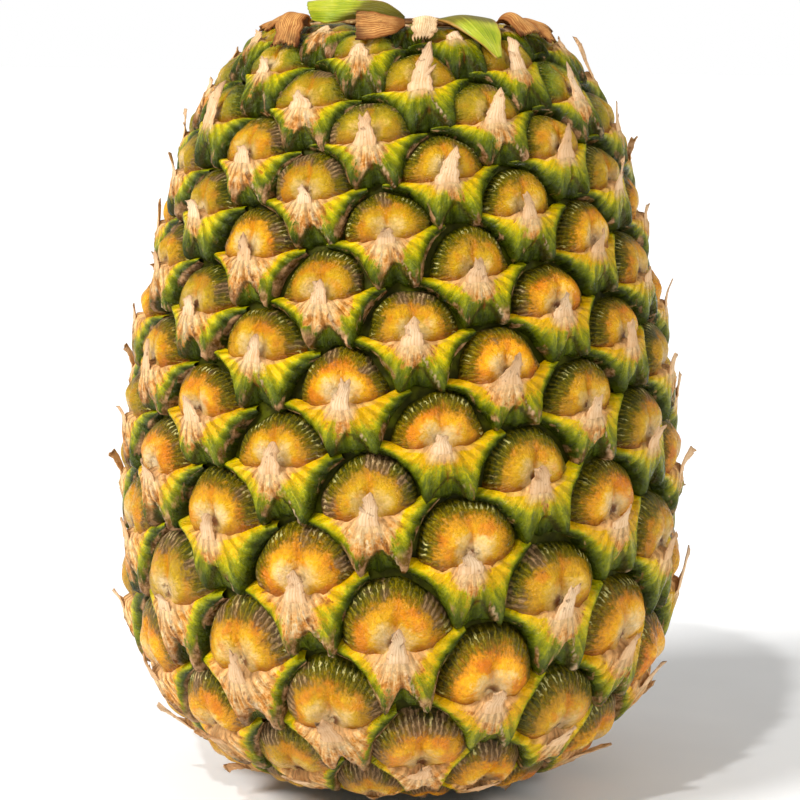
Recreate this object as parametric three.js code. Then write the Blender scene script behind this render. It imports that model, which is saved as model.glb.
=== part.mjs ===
// A whole pineapple with its crown broken off, standing on its cut stalk.
//
// Millimetres, +Z up. The origin is the middle of the flat stalk scar that the fruit rests on.
// -Y is the side seen in the photograph and +X is to its right.
//
// The eyes sit on the spirals that a real pineapple has: 8 one way, 13 the other and 21 steep ones.
// Eye n stands at the azimuth n * DIVERGENCE, and n grows downwards from the middle of the fruit.
import * as THREE from 'three';

// Sizes, in mm and degrees
const DIVERGENCE = 137.414;       // turn from one eye to the next
const FIRST_AZIMUTH = 1.9;        // azimuth of eye 0, from the front towards +X
const FIRST_HEIGHT = 107.6;       // height of eye 0
const TOP_EYE = -70;              // last eye under the crown
const BASE_EYE = 99;              // last eye beside the stalk
const LAST_TALL_TIP = -57;        // eyes above this one have their tips under the leaves
const REF_RADIUS = 60;            // radius at which the eye pattern below is drawn
const EYES_PER_MM = 0.9036;       // eyes passed per mm of height in that pattern
const REF_EYE_AREA = 413;         // area of the eye in that pattern, mm2

const SCAR_RADIUS = 14;           // flat cut end of the stalk, the rest face
const SCAR_HEIGHT = 1.2;
const SEAT_RADIUS = 18.2;         // where the crown grew from
const SEAT_HEIGHT = 169.3;
const STUMP_RADIUS = 17;          // core of the crown that stayed on
const STUMP_RISE = 1.5;
const GAP = 0.35;                 // clearance between pieces that touch
const LEAF_THICKNESS = 1.0;

// Outline of the fruit over the tops of its eyes: radius and height, from the scar to the crown.
const OUTLINE = [
  [15.6, 1.9], [20, 2.7], [27, 3.9], [35.3, 5.4], [46.1, 12], [55.8, 23.8], [61.4, 42.5],
  [62.3, 66.6], [60.1, 95.6], [53.6, 124.7], [46.6, 148.7], [38.2, 161.6], [33.7, 166.4],
  [28.6, 168.9], [23.2, 169.9], [19.4, 170.1],
];

// Area of one eye along the height: fraction of the height and mm2.
const EYE_AREAS = [
  [0.012, 105], [0.03, 190], [0.05, 330], [0.08, 450], [0.15, 510], [0.24, 590], [0.33, 537],
  [0.4, 466], [0.5, 413], [0.62, 362], [0.785, 309], [0.92, 261], [0.965, 235], [0.985, 170],
  [1.0, 120],
];

// One eye

// Each corner has a place in the flat drawing that sets how it is joined (u, v), and its place on
// the fruit: x to the right, y up, h out from the outline.
const EYE = [
  // meeting points of three eyes, and the groove between two
  { name: 'wing_meet', u: 11.5, v: 1.85, h: -3.0 },
  { name: 'skirt_meet', u: 2.8, v: 12.5, h: -4.2 },
  { name: 'groove_right', u: 7.9, v: 7.6, h: -3.9 },
  { name: 'groove_top', u: -3.0, v: 11.8, h: -4.1 },
  { name: 'groove_left', u: -10.1, v: 4.8, h: -3.8 },
  // cap: rim, shoulder and navel
  ...[6, 40, 74, 106, 140, 174].map((deg, i) => ({ name: `rim_${i}`, ...polar(8.9, deg, 0.6), h: -1.9 })),
  ...[24, 68, 112, 156].map((deg, i) => ({ name: `shoulder_${i}`, ...polar(5.6, deg, 1.8), h: -0.2 })),
  { name: 'navel', u: 0, v: 4.7, x: 0, y: 3.9, h: -0.7 },
  // foot of the cap behind the bract
  { name: 'foot_left', u: -5, v: 2.3, x: -5, y: 0.9, h: -1.9 },
  { name: 'foot', u: 0, v: 2.4, x: 0, y: 1.1, h: -1.9 },
  { name: 'foot_right', u: 5, v: 2.3, x: 5, y: 0.9, h: -1.9 },
  // dry tip of the bract, standing up over the cap
  { name: 'tip_left', u: -0.9, v: 0.9, x: -1.3, y: 4.6, h: 1.9 },
  { name: 'tip_right', u: 0.9, v: 0.9, x: 0.9, y: 5.6, h: 2.4 },
  // bract: upper lip, belly and the lobes of its skirt
  { name: 'lip_0', u: -8, v: -0.4, x: -8.2, y: 0.1, h: -1.0 },
  { name: 'lip_1', u: -2.5, v: -0.9, x: -2.3, y: -0.7, h: 0.7 },
  { name: 'lip_2', u: 2.5, v: -0.9, x: 2.3, y: -0.7, h: 0.7 },
  { name: 'lip_3', u: 8, v: -0.2, x: 8.2, y: 0.5, h: -1.0 },
  { name: 'belly_left', u: -5.3, v: -5.2, h: -0.7 },
  { name: 'belly', u: 0.2, v: -5.4, h: 0.2 },
  { name: 'belly_right', u: 5.6, v: -5.0, h: -0.7 },
  { name: 'lobe_left', u: -2.7, v: -10.3, h: -1.3 },
  { name: 'crease', u: 1.0, v: -7.4, h: -1.9 },
  { name: 'notch', u: 1.9, v: -9.6, h: -2.8 },
  { name: 'lobe_right', u: 6.3, v: -9.5, h: -1.3 },
];

function polar(radius, degrees, rise) {
  const a = THREE.MathUtils.degToRad(degrees);
  return { u: radius * Math.cos(a), v: rise + radius * Math.sin(a) };
}

// Helpers

// Repeatable random number between -1 and 1 for a whole number and a purpose.
function chance(index, purpose) {
  let t = (Math.imul(index + 4096, 0x9e3779b1) ^ Math.imul(purpose + 17, 0x85ebca6b)) >>> 0;
  t = Math.imul(t ^ (t >>> 15), 0x2c1b3c6d) >>> 0;
  t = Math.imul(t ^ (t >>> 12), 0x297a2d39) >>> 0;
  return ((t ^ (t >>> 15)) >>> 0) / 2147483648 - 1;
}

function between(table, at) {
  if (at <= table[0][0]) return table[0][1];
  for (let i = 1; i < table.length; i++) {
    if (at <= table[i][0]) {
      const f = (at - table[i - 1][0]) / (table[i][0] - table[i - 1][0]);
      return table[i - 1][1] + f * (table[i][1] - table[i - 1][1]);
    }
  }
  return table[table.length - 1][1];
}

// The outline as a smooth run from the crown down to the scar, with the eye number at each step.
function measureOutline() {
  const points = OUTLINE.slice().reverse().map(([r, z]) => new THREE.Vector3(r, z, 0));
  const curve = new THREE.CatmullRomCurve3(points, false, 'centripetal');
  const steps = 1500;
  const run = curve.getPoints(steps);
  const numbers = [0];
  for (let i = 1; i <= steps; i++) {
    const radius = (run[i].x + run[i - 1].x) / 2;
    const length = run[i].distanceTo(run[i - 1]);
    const area = between(EYE_AREAS, run[i].y / (SEAT_HEIGHT + 1.7));
    numbers.push(numbers[i - 1] + (2 * Math.PI * radius * length) / area);
  }
  const first = run.findIndex((p) => p.y < FIRST_HEIGHT && p.x > SEAT_RADIUS * 2);
  const shift = numbers[first];
  return run.map((p, i) => {
    const a = run[Math.max(0, i - 1)];
    const b = run[Math.min(steps, i + 1)];
    const along = new THREE.Vector2(b.x - a.x, b.y - a.y).normalize();
    return { n: numbers[i] - shift, r: p.x, z: p.y, nr: -along.y, nz: along.x };
  });
}

const outline = measureOutline();

function outlineAt(n) {
  let low = 0;
  let high = outline.length - 1;
  while (high - low > 1) {
    const middle = (low + high) >> 1;
    if (outline[middle].n <= n) low = middle;
    else high = middle;
  }
  const a = outline[low];
  const b = outline[high];
  const f = (n - a.n) / (b.n - a.n);
  const mix = (key) => a[key] + f * (b[key] - a[key]);
  return { r: mix('r'), z: mix('z'), nr: mix('nr'), nz: mix('nz') };
}

// A point of eye n on the fruit, from its place in the pattern.
function onFruit(n, x, y, h) {
  const number = n - y * EYES_PER_MM;
  const at = outlineAt(number);
  const azimuth = THREE.MathUtils.degToRad(FIRST_AZIMUTH + n * DIVERGENCE) + x / REF_RADIUS;
  const size = Math.sqrt(between(EYE_AREAS, at.z / (SEAT_HEIGHT + 1.7)) / REF_EYE_AREA);
  const calm = THREE.MathUtils.smoothstep(at.r, SEAT_RADIUS, at.z < 40 ? 48 : 36);
  const out = h * size * (0.25 + 0.75 * calm);
  const radius = at.r + at.nr * out;
  return new THREE.Vector3(radius * Math.sin(azimuth), -radius * Math.cos(azimuth), at.z + at.nz * out);
}

// Neighbouring eye by its number, drawn flat.
function flatStep(number) {
  const turn = number * DIVERGENCE;
  const near = turn - 360 * Math.round(turn / 360);
  return { u: THREE.MathUtils.degToRad(near) * REF_RADIUS, v: -number / EYES_PER_MM };
}

// Triangles that join a set of flat points so that no point lies in another triangle's circle.
function joinFlat(points) {
  const far = 1e4;
  const all = [...points, { u: -far, v: -far }, { u: far, v: -far }, { u: 0, v: far }];
  const count = points.length;
  let triangles = [[count, count + 1, count + 2]];
  const inCircle = (t, p) => {
    const [a, b, c] = t.map((i) => [all[i].u - p.u, all[i].v - p.v]);
    const square = (q) => q[0] * q[0] + q[1] * q[1];
    return square(a) * (b[0] * c[1] - c[0] * b[1]) - square(b) * (a[0] * c[1] - c[0] * a[1])
      + square(c) * (a[0] * b[1] - b[0] * a[1]) > 1e-9;
  };
  for (let i = 0; i < count; i++) {
    const broken = triangles.filter((t) => inCircle(t, all[i]));
    const kept = triangles.filter((t) => !broken.includes(t));
    const edges = new Map();
    for (const t of broken) {
      for (let k = 0; k < 3; k++) {
        const from = t[k];
        const to = t[(k + 1) % 3];
        if (edges.has(`${to},${from}`)) edges.delete(`${to},${from}`);
        else edges.set(`${from},${to}`, [from, to]);
      }
    }
    triangles = [...kept, ...[...edges.values()].map(([from, to]) => [from, to, i])];
  }
  return triangles.filter((t) => t.every((i) => i < count));
}

// The triangles of one eye, each corner as [step to the eye that owns it, corner number].
function eyeTriangles() {
  const steps = [];
  for (let number = -60; number <= 60; number++) {
    const step = flatStep(number);
    if (Math.hypot(step.u, step.v) < 45) steps.push({ number, ...step });
  }
  const points = steps.flatMap((step) => EYE.map((corner, index) => ({
    number: step.number, index, u: corner.u + step.u, v: corner.v + step.v,
  })));
  const found = [];
  for (const triangle of joinFlat(points)) {
    const corners = triangle.map((i) => points[i]);
    const turned = corners.map((own) => corners.map((c) => [c.number - own.number, c.index]));
    const names = turned.map((t) => nearestFirst(t));
    const mine = nearestFirst(corners.map((c) => [c.number, c.index]));
    if (mine === names.sort()[0]) found.push(corners.map((c) => [c.number, c.index]));
  }
  return found;
}

// A sortable name of a triangle that puts the one nearest to the middle eye first.
function nearestFirst(triangle) {
  const away = triangle.reduce((sum, [number]) => sum + Math.abs(number), 0);
  const names = triangle.map(([number, index]) => `${index}:${number}`).sort();
  return `${String(away).padStart(4, '0')} ${names.join(' ')}`;
}

// The fruit
function cornerOnFruit(n, index) {
  const corner = EYE[index];
  let x = corner.x ?? corner.u;
  let y = corner.y ?? corner.v;
  let h = corner.h;
  if (corner.name.startsWith('tip')) {
    const broken = chance(n, 1) > 0.45;
    x += 1.3 * chance(n, 2);
    y += broken ? -2.6 : 1.1 * chance(n, 3);
    h += broken ? -0.9 : 1.1 * chance(n, 4);
    if (n < LAST_TALL_TIP) h = -0.4;
  } else if (corner.name.startsWith('shoulder') || corner.name === 'navel') {
    h += 0.35 * chance(n, 5);
  } else if (corner.name.startsWith('lobe') || corner.name.startsWith('belly')) {
    h += 0.3 * chance(n * 7 + index, 6);
  }
  return onFruit(n, x, y, h);
}

// Follows the open edge of a set of triangles into closed loops of corner numbers.
function openLoops(triangles) {
  const next = new Map();
  const pairs = new Set(triangles.flatMap(([a, b, c]) => [`${a},${b}`, `${b},${c}`, `${c},${a}`]));
  for (const pair of pairs) {
    const [from, to] = pair.split(',').map(Number);
    if (!pairs.has(`${to},${from}`)) next.set(to, from);
  }
  const loops = [];
  while (next.size) {
    const loop = [next.keys().next().value];
    while (next.has(loop[loop.length - 1])) {
      const last = loop[loop.length - 1];
      const follow = next.get(last);
      next.delete(last);
      if (follow === loop[0]) break;
      loop.push(follow);
    }
    loops.push(loop);
  }
  return loops;
}

function buildFruit() {
  const corners = [];
  const numbers = new Map();
  const numberOf = (n, index) => {
    const key = `${n}:${index}`;
    if (!numbers.has(key)) {
      numbers.set(key, corners.length);
      corners.push(cornerOnFruit(n, index));
    }
    return numbers.get(key);
  };
  const triangles = [];
  const pattern = eyeTriangles();
  for (let n = TOP_EYE; n <= BASE_EYE; n++) {
    for (const triangle of pattern) {
      if (triangle.every(([step]) => n + step >= TOP_EYE && n + step <= BASE_EYE)) {
        triangles.push(triangle.map(([step, index]) => numberOf(n + step, index)));
      }
    }
  }
  for (const loop of openLoops(triangles)) {
    const isTop = corners[loop[0]].z > SEAT_HEIGHT / 2;
    const rings = isTop
      ? [[SEAT_RADIUS, SEAT_HEIGHT]]
      : [[SCAR_RADIUS + 0.4, SCAR_HEIGHT], [SCAR_RADIUS, 0]];
    closeLoop(corners, triangles, loop, rings);
  }
  return closedGeometry(corners, triangles);
}

// Closes an open loop of the eyes with level rings and a flat disc in the middle.
function closeLoop(corners, triangles, loop, rings) {
  const sides = 28;
  const up = rings[0][1] > SEAT_HEIGHT / 2;
  const ringCorners = rings.map(([radius, height]) => Array.from({ length: sides }, (_, i) => {
    const a = (i / sides) * 2 * Math.PI;
    corners.push(new THREE.Vector3(radius * Math.cos(a), radius * Math.sin(a), height));
    return corners.length - 1;
  }));
  const flat = (list) => list.map((i) => new THREE.Vector2(corners[i].x, corners[i].y));
  const outer = THREE.ShapeUtils.isClockWise(flat(loop)) ? loop.slice().reverse() : loop;
  const hole = ringCorners[0].slice().reverse();
  const order = [...outer, ...hole];
  const turn = (t) => (up ? t : [t[0], t[2], t[1]]);
  for (const face of THREE.ShapeUtils.triangulateShape(flat(outer), [flat(hole)])) {
    const [a, b, c] = face.map((i) => order[i]);
    const area = (corners[b].x - corners[a].x) * (corners[c].y - corners[a].y)
      - (corners[c].x - corners[a].x) * (corners[b].y - corners[a].y);
    triangles.push(turn(area > 0 ? [a, b, c] : [a, c, b]));
  }
  for (let k = 1; k < ringCorners.length; k++) {
    for (let i = 0; i < sides; i++) {
      const j = (i + 1) % sides;
      const [a, b] = [ringCorners[k - 1][i], ringCorners[k - 1][j]];
      const [c, d] = [ringCorners[k][i], ringCorners[k][j]];
      triangles.push(turn([a, b, c]), turn([b, d, c]));
    }
  }
  const last = ringCorners[ringCorners.length - 1];
  const [, height] = rings[rings.length - 1];
  corners.push(new THREE.Vector3(0, 0, height));
  const middle = corners.length - 1;
  for (let i = 0; i < sides; i++) triangles.push(turn([last[i], last[(i + 1) % sides], middle]));
}

function closedGeometry(corners, triangles) {
  const geometry = new THREE.BufferGeometry();
  geometry.setAttribute('position', new THREE.Float32BufferAttribute(
    corners.flatMap((p) => [p.x, p.y, p.z]), 3,
  ));
  geometry.setIndex(triangles.flat());
  geometry.computeVertexNormals();
  return geometry;
}

// The crown stump

// A short torn core: rings from its underside up over an uneven broken top.
function buildStump() {
  const sides = 20;
  const base = SEAT_HEIGHT + GAP;
  const rings = [[1, 0], [1.03, 0.45], [0.9, 0.8], [0.62, 1.0], [0.3, 0.82]];
  const corners = [new THREE.Vector3(0, 0, base)];
  rings.forEach(([wide, high], k) => {
    for (let i = 0; i < sides; i++) {
      const a = (i / sides) * 2 * Math.PI;
      const rough = k === 0 ? 0 : 0.14 * chance(i + 40 * k, 7);
      const radius = STUMP_RADIUS * wide * (1 + (k === 0 ? 0 : 0.05 * chance(i + 40 * k, 8)));
      const height = base + STUMP_RISE * high * (1 + rough);
      corners.push(new THREE.Vector3(radius * Math.cos(a), radius * Math.sin(a), height));
    }
  });
  corners.push(new THREE.Vector3(0, 0, base + STUMP_RISE * 0.75));
  const top = corners.length - 1;
  const triangles = [];
  const at = (k, i) => 1 + k * sides + (i % sides);
  for (let i = 0; i < sides; i++) {
    triangles.push([0, at(0, i + 1), at(0, i)]);
    for (let k = 0; k + 1 < rings.length; k++) {
      triangles.push([at(k, i), at(k, i + 1), at(k + 1, i + 1)], [at(k, i), at(k + 1, i + 1), at(k + 1, i)]);
    }
    triangles.push([at(rings.length - 1, i), at(rings.length - 1, i + 1), top]);
  }
  return closedGeometry(corners, triangles);
}

// The leaf bases

// Each row is the left and the right edge as azimuth, radius and height, and how far the middle
// bows out. Rows run from the root of the leaf to its torn end. These seven show in the photograph.
const FRONT_LEAVES = {
  leaf_01: [                        // green, bent over to the left along the rim
    [-1.5, 23.2, 170.6, -1.0, 22.6, 171.6, 0],
    [-12.0, 25.0, 171.0, -6.5, 23.5, 173.5, 0.4],
    [-25.0, 26.4, 171.2, -14.0, 24.2, 174.9, 0.6],
    [-33.8, 28.4, 170.2, -24.0, 25.2, 175.0, 0.7],
    [-38.6, 28.8, 170.2, -37.5, 26.4, 174.9, 0.8],
    [-43.5, 28.9, 170.7, -50.5, 27.0, 174.4, 0.4],
  ],
  leaf_02: [                        // dry, folded forwards over the shoulder
    [-0.4, 29.8, 169.8, -0.6, 27.5, 170.9, 0],
    [-5.2, 33.5, 168.0, -7.0, 27.2, 171.6, 0.6],
    [-11.0, 35.2, 167.1, -14.5, 27.6, 172.3, 0.8],
    [-17.0, 35.2, 167.1, -21.5, 28.2, 172.8, 0.6],
  ],
  leaf_03: [                        // yellow base at the left
    [-52.0, 30.6, 169.4, -41.0, 30.6, 169.4, 0.2],
    [-53.5, 31.8, 171.4, -40.5, 31.8, 171.4, 0.7],
    [-53.0, 33.8, 170.2, -39.5, 33.8, 170.2, 1.0],
    [-51.0, 35.6, 167.8, -38.0, 35.6, 167.8, 0.8],
    [-48.5, 37.6, 165.5, -37.5, 37.6, 165.5, 0.4],
  ],
  leaf_04: [                        // small pale torn tip
    [4.5, 26.5, 170.6, 11.5, 26.5, 170.6, 0.2],
    [3.0, 29.5, 171.2, 12.5, 29.5, 171.0, 0.5],
    [2.2, 32.5, 169.6, 11.5, 32.5, 169.4, 0.5],
    [2.4, 35.3, 167.4, 8.5, 35.3, 167.4, 0.2],
  ],
  leaf_05: [                        // green and pointed, hanging down in front
    [16.0, 23.0, 170.9, 40.0, 23.0, 170.9, 0.3],
    [14.2, 26.5, 171.2, 41.5, 26.5, 171.2, 0.6],
    [16.5, 29.8, 170.6, 39.6, 29.8, 170.6, 0.9],
    [20.3, 33.2, 168.9, 36.3, 33.2, 168.9, 0.9],
    [25.4, 36.8, 166.1, 32.3, 36.8, 166.1, 0.5],
    [28.4, 39.6, 163.5, 29.9, 39.6, 163.5, 0.1],
  ],
  leaf_06: [                        // dry, with a peak
    [44.0, 27.0, 170.3, 54.0, 27.0, 170.1, 0.4],
    [43.2, 29.6, 171.2, 57.0, 29.6, 170.5, 1.6],
    [43.0, 32.6, 169.9, 57.5, 32.6, 169.3, 1.3],
    [43.0, 35.4, 168.1, 55.0, 35.4, 167.7, 0.8],
  ],
  leaf_07: [                        // dark dried scrap
    [60.0, 27.6, 170.0, 67.0, 27.6, 170.0, 0.2],
    [60.0, 30.4, 170.3, 68.0, 30.4, 170.2, 0.5],
    [59.5, 33.2, 168.8, 66.5, 33.2, 168.6, 0.5],
    [59.0, 35.6, 166.9, 64.0, 35.6, 166.8, 0.2],
  ],
};

const GREEN_LEAVES = ['leaf_01', 'leaf_05'];

// The rest of the ring, which the photograph doesn't show: azimuths of their middles.
const OTHER_LEAVES = [78, 100, 122, 146, 170, 193, 217, 240, 262, 284];
const OTHER_HALF_WIDTH = 8.4;       // degrees
const SHORT_ROWS = 4;               // a short dry one ends at this row, a green one hangs further
// From root to end: radius, height and share of the half width.
const BENT_OVER = [
  [26.6, 170.4, 0.8], [30.2, 169.9, 1.0], [34.0, 168.1, 0.95], [37.4, 165.3, 0.8],
  [40.0, 162.4, 0.5], [41.8, 159.6, 0.14],
];
// The same for the stubs at the two sides, where the outline shows no longer leaf.
const STUB = [[24.6, 170.3, 0.8], [27.2, 170.4, 1.0], [29.8, 169.5, 0.9], [31.8, 168.3, 0.8]];
const SIDEWAYS = 0.96;              // sine of the azimuth beyond which a leaf is a stub
const SWAY = 0.9;                   // degrees a row

function otherLeaf(azimuth, number) {
  const stub = Math.abs(Math.sin(THREE.MathUtils.degToRad(azimuth))) > SIDEWAYS;
  const short = stub || chance(number, 16) > 0.2;
  const rows = stub ? STUB : BENT_OVER.slice(0, short ? SHORT_ROWS : BENT_OVER.length);
  return rows.map(([radius, height, share], k) => {
    const torn = short && k === 3 ? 0.7 : 1;
    const half = OTHER_HALF_WIDTH * share * torn * (1 + 0.1 * chance(number * 9 + k, 10));
    const sway = k * SWAY * chance(number, 11);
    const lift = (k === 1 || k === 2 ? 0.2 : 0.1) * (1 + chance(number * 9 + k, 12));
    return [azimuth + sway - half, radius, height + lift, azimuth + sway + half, radius, height + lift,
      0.2 + share * 0.5];
  });
}

// A curved blade through the rows, of even thickness, closed all round.
function buildLeaf(rows) {
  const across = 4;
  const place = (azimuth, radius, height) => {
    const a = THREE.MathUtils.degToRad(azimuth);
    return new THREE.Vector3(radius * Math.sin(a), -radius * Math.cos(a), height);
  };
  const flat = rows.map(([la, lr, lz, ra, rr, rz]) => Array.from({ length: across + 1 }, (_, i) => (
    place(la, lr, lz).lerp(place(ra, rr, rz), i / across))));
  const faceAt = (grid, k, i) => {
    const last = rows.length - 1;
    const along = grid[Math.min(k + 1, last)][i].clone().sub(grid[Math.max(k - 1, 0)][i]);
    const side = grid[k][Math.min(i + 1, across)].clone().sub(grid[k][Math.max(i - 1, 0)]);
    return side.cross(along).normalize();
  };
  const middle = faceAt(flat, 1, across / 2);
  const outward = middle.z > 0 || middle.dot(flat[1][across / 2]) > 20 ? 1 : -1;
  const bowed = flat.map((row, k) => row.map((p, i) => {
    const f = (2 * i) / across - 1;
    return p.clone().addScaledVector(faceAt(flat, k, i), outward * rows[k][6] * (1 - f * f));
  }));
  const corners = [];
  const at = (side, k, i) => side * rows.length * (across + 1) + k * (across + 1) + i;
  for (const side of [0.5, -0.5]) {
    bowed.forEach((row, k) => row.forEach((p, i) => {
      corners.push(p.clone().addScaledVector(faceAt(bowed, k, i), outward * side * LEAF_THICKNESS));
    }));
  }
  const triangles = [];
  const quad = (a, b, c, d) => triangles.push([a, b, c], [a, c, d]);
  const last = rows.length - 1;
  for (let k = 0; k < last; k++) {
    for (let i = 0; i < across; i++) {
      quad(at(0, k, i), at(0, k, i + 1), at(0, k + 1, i + 1), at(0, k + 1, i));
      quad(at(1, k, i), at(1, k + 1, i), at(1, k + 1, i + 1), at(1, k, i + 1));
    }
    quad(at(0, k, 0), at(0, k + 1, 0), at(1, k + 1, 0), at(1, k, 0));
    quad(at(0, k, across), at(1, k, across), at(1, k + 1, across), at(0, k + 1, across));
  }
  for (let i = 0; i < across; i++) {
    quad(at(0, 0, i), at(1, 0, i), at(1, 0, i + 1), at(0, 0, i + 1));
    quad(at(0, last, i), at(0, last, i + 1), at(1, last, i + 1), at(1, last, i));
  }
  return closedGeometry(corners, facingOut(corners, triangles));
}

// Turns the triangles over where they enclose their solid from the inside.
function facingOut(corners, triangles) {
  const volume = triangles.reduce((sum, [a, b, c]) => (
    sum + corners[a].dot(corners[b].clone().cross(corners[c]))), 0);
  return volume > 0 ? triangles : triangles.map(([a, b, c]) => [a, c, b]);
}

// The part
const finishes = {
  rind: new THREE.MeshStandardMaterial({ color: '#8f8a2c', roughness: 0.55, metalness: 0 }),
  core: new THREE.MeshStandardMaterial({ color: '#b79a63', roughness: 0.9, metalness: 0 }),
  green: new THREE.MeshStandardMaterial({ color: '#7d9a3a', roughness: 0.5, metalness: 0 }),
  dry: new THREE.MeshStandardMaterial({ color: '#c09a6b', roughness: 0.85, metalness: 0 }),
};

function addPiece(group, name, geometry, finish) {
  const mesh = new THREE.Mesh(geometry, finish);
  mesh.name = name;
  group.add(mesh);
}

const pineapple = new THREE.Group();
pineapple.name = 'pineapple';
addPiece(pineapple, 'fruit', buildFruit(), finishes.rind);
addPiece(pineapple, 'crown_stump', buildStump(), finishes.core);
for (const [name, rows] of Object.entries(FRONT_LEAVES)) {
  addPiece(pineapple, name, buildLeaf(rows), GREEN_LEAVES.includes(name) ? finishes.green : finishes.dry);
}
OTHER_LEAVES.forEach((azimuth, i) => {
  const number = Object.keys(FRONT_LEAVES).length + i + 1;
  const name = `leaf_${String(number).padStart(2, '0')}`;
  const rows = otherLeaf(azimuth, number);
  addPiece(pineapple, name, buildLeaf(rows), rows.length > SHORT_ROWS ? finishes.green : finishes.dry);
});

export default pineapple;
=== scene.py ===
"""A whole pineapple with its crown broken off, standing on its stalk scar.

The fruit is dressed eye by eye: a smooth waxy cap over each eye, a pleated bract below it and the
bract's dry papery tip lying over the cap. Lengths in the classes are millimetres; meshes are metres.
"""

import logging
import math
from dataclasses import dataclass, field
from enum import Enum
from typing import Callable, Sequence

import bpy
import numpy as np
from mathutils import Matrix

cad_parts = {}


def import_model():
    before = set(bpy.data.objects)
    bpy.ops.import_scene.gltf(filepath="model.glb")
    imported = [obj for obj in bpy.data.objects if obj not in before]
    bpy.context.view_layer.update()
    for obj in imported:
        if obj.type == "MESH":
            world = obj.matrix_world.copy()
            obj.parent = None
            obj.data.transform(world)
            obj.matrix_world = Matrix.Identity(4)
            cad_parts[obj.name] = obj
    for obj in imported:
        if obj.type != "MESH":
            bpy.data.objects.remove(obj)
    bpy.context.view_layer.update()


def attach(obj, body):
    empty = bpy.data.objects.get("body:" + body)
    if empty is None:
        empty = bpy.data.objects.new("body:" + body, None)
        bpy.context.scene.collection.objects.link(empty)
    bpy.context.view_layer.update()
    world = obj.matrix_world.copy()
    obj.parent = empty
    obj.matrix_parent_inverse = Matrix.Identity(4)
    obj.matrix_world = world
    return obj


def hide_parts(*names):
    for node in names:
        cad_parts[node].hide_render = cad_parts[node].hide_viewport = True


log = logging.getLogger("pineapple")
MM = 0.001
WAX_IOR = 1.45
PAPER_IOR = 1.5
Array = np.ndarray
Mesh = tuple[Array, Array]
Shaped = tuple[Array, Array, Array, tuple, tuple]
Piece = bpy.types.Object
Material = bpy.types.Material
Stops = tuple[tuple[float, str], ...]


# Small helpers

def linear(colour: str) -> tuple[float, float, float, float]:
    """Turns an sRGB hex colour to linear light.

    Args:
        colour: Six hex digits after a hash sign.

    Returns:
        Red, green, blue and an alpha of 1.
    """
    parts = [int(colour[i:i + 2], 16) / 255 for i in (1, 3, 5)]
    light = [c / 12.92 if c <= 0.04045 else ((c + 0.055) / 1.055) ** 2.4 for c in parts]
    return (*light, 1.0)


def smooth(low: float, high: float, value: Array) -> Array:
    """Rises smoothly from 0 at low to 1 at high."""
    part = np.clip((value - low) / (high - low), 0, 1)
    return part * part * (3 - 2 * part)


def bell(value: Array, middle: Array | float, width: float) -> Array:
    """A bell curve of height 1 round a middle."""
    return np.exp(-(((value - middle) / width) ** 2))


def clear_selection() -> None:
    """Leaves nothing selected, as the loaded solids are."""
    bpy.ops.object.select_all(action="DESELECT")


def choose(piece: Piece) -> None:
    """Selects one piece alone and makes it the active one.

    Args:
        piece: The piece.
    """
    clear_selection()
    piece.select_set(True)
    bpy.context.view_layer.objects.active = piece


def edit_all(step: Callable[..., object], **settings: object) -> None:
    """Runs one mesh operator on the whole of the active piece.

    Args:
        step: The operator.
        settings: What it is told.
    """
    bpy.ops.object.mode_set(mode="EDIT")
    bpy.ops.mesh.select_all(action="SELECT")
    step(**settings)
    bpy.ops.object.mode_set(mode="OBJECT")


def start_grid(columns: int, rows: int) -> Mesh:
    """Adds a flat grid, reads it and takes it away again.

    Args:
        columns: Faces across.
        rows: Faces up.

    Returns:
        Places from -1 to 1 both ways, and the corner numbers of each four-sided face.
    """
    clear_selection()
    bpy.ops.mesh.primitive_grid_add(x_subdivisions=columns, y_subdivisions=rows, size=2)
    return take_mesh(4)


def start_ball(segments: int, rings: int) -> Mesh:
    """Adds a round ball, turns it to triangles, reads it and takes it away again.

    Args:
        segments: Faces round it.
        rings: Faces from pole to pole.

    Returns:
        Places on the unit ball, and the corner numbers of each triangle.
    """
    clear_selection()
    bpy.ops.mesh.primitive_uv_sphere_add(segments=segments, ring_count=rings, radius=1)
    edit_all(bpy.ops.mesh.quads_convert_to_tris)
    return take_mesh(3)


def take_mesh(sides: int) -> Mesh:
    """Reads the active object's mesh, then deletes the object.

    Args:
        sides: How many corners a face has.

    Returns:
        The corners, and the corner numbers of each face.
    """
    made = bpy.context.active_object
    places = np.array([v.co for v in made.data.vertices])
    faces = np.array([p.vertices[:] for p in made.data.polygons if len(p.vertices) == sides])
    bpy.ops.object.delete()
    return places, faces


def new_piece(name: str, places: Array, faces: Array, marks: dict[str, Array]) -> Piece:
    """Makes a smooth object from corners in millimetres.

    Args:
        name: Name of the piece.
        places: Corners, one row each.
        faces: Corner numbers of each face.
        marks: Values on the corners for the finishes to read, three a corner.

    Returns:
        The new object, at the origin.
    """
    mesh = bpy.data.meshes.new(name)
    mesh.from_pydata((places * MM).tolist(), [], faces.tolist())
    for label, values in marks.items():
        layer = mesh.attributes.new(label, "FLOAT_VECTOR", "POINT")
        layer.data.foreach_set("vector", np.ascontiguousarray(values, dtype=np.float32).ravel())
    mesh.update()
    piece = bpy.data.objects.new(name, mesh)
    bpy.context.scene.collection.objects.link(piece)
    choose(piece)
    bpy.ops.object.shade_smooth()
    return piece


def make_outward(piece: Piece) -> None:
    """Turns the faces of a closed piece outwards."""
    choose(piece)
    edit_all(bpy.ops.mesh.normals_make_consistent, inside=False)


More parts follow.
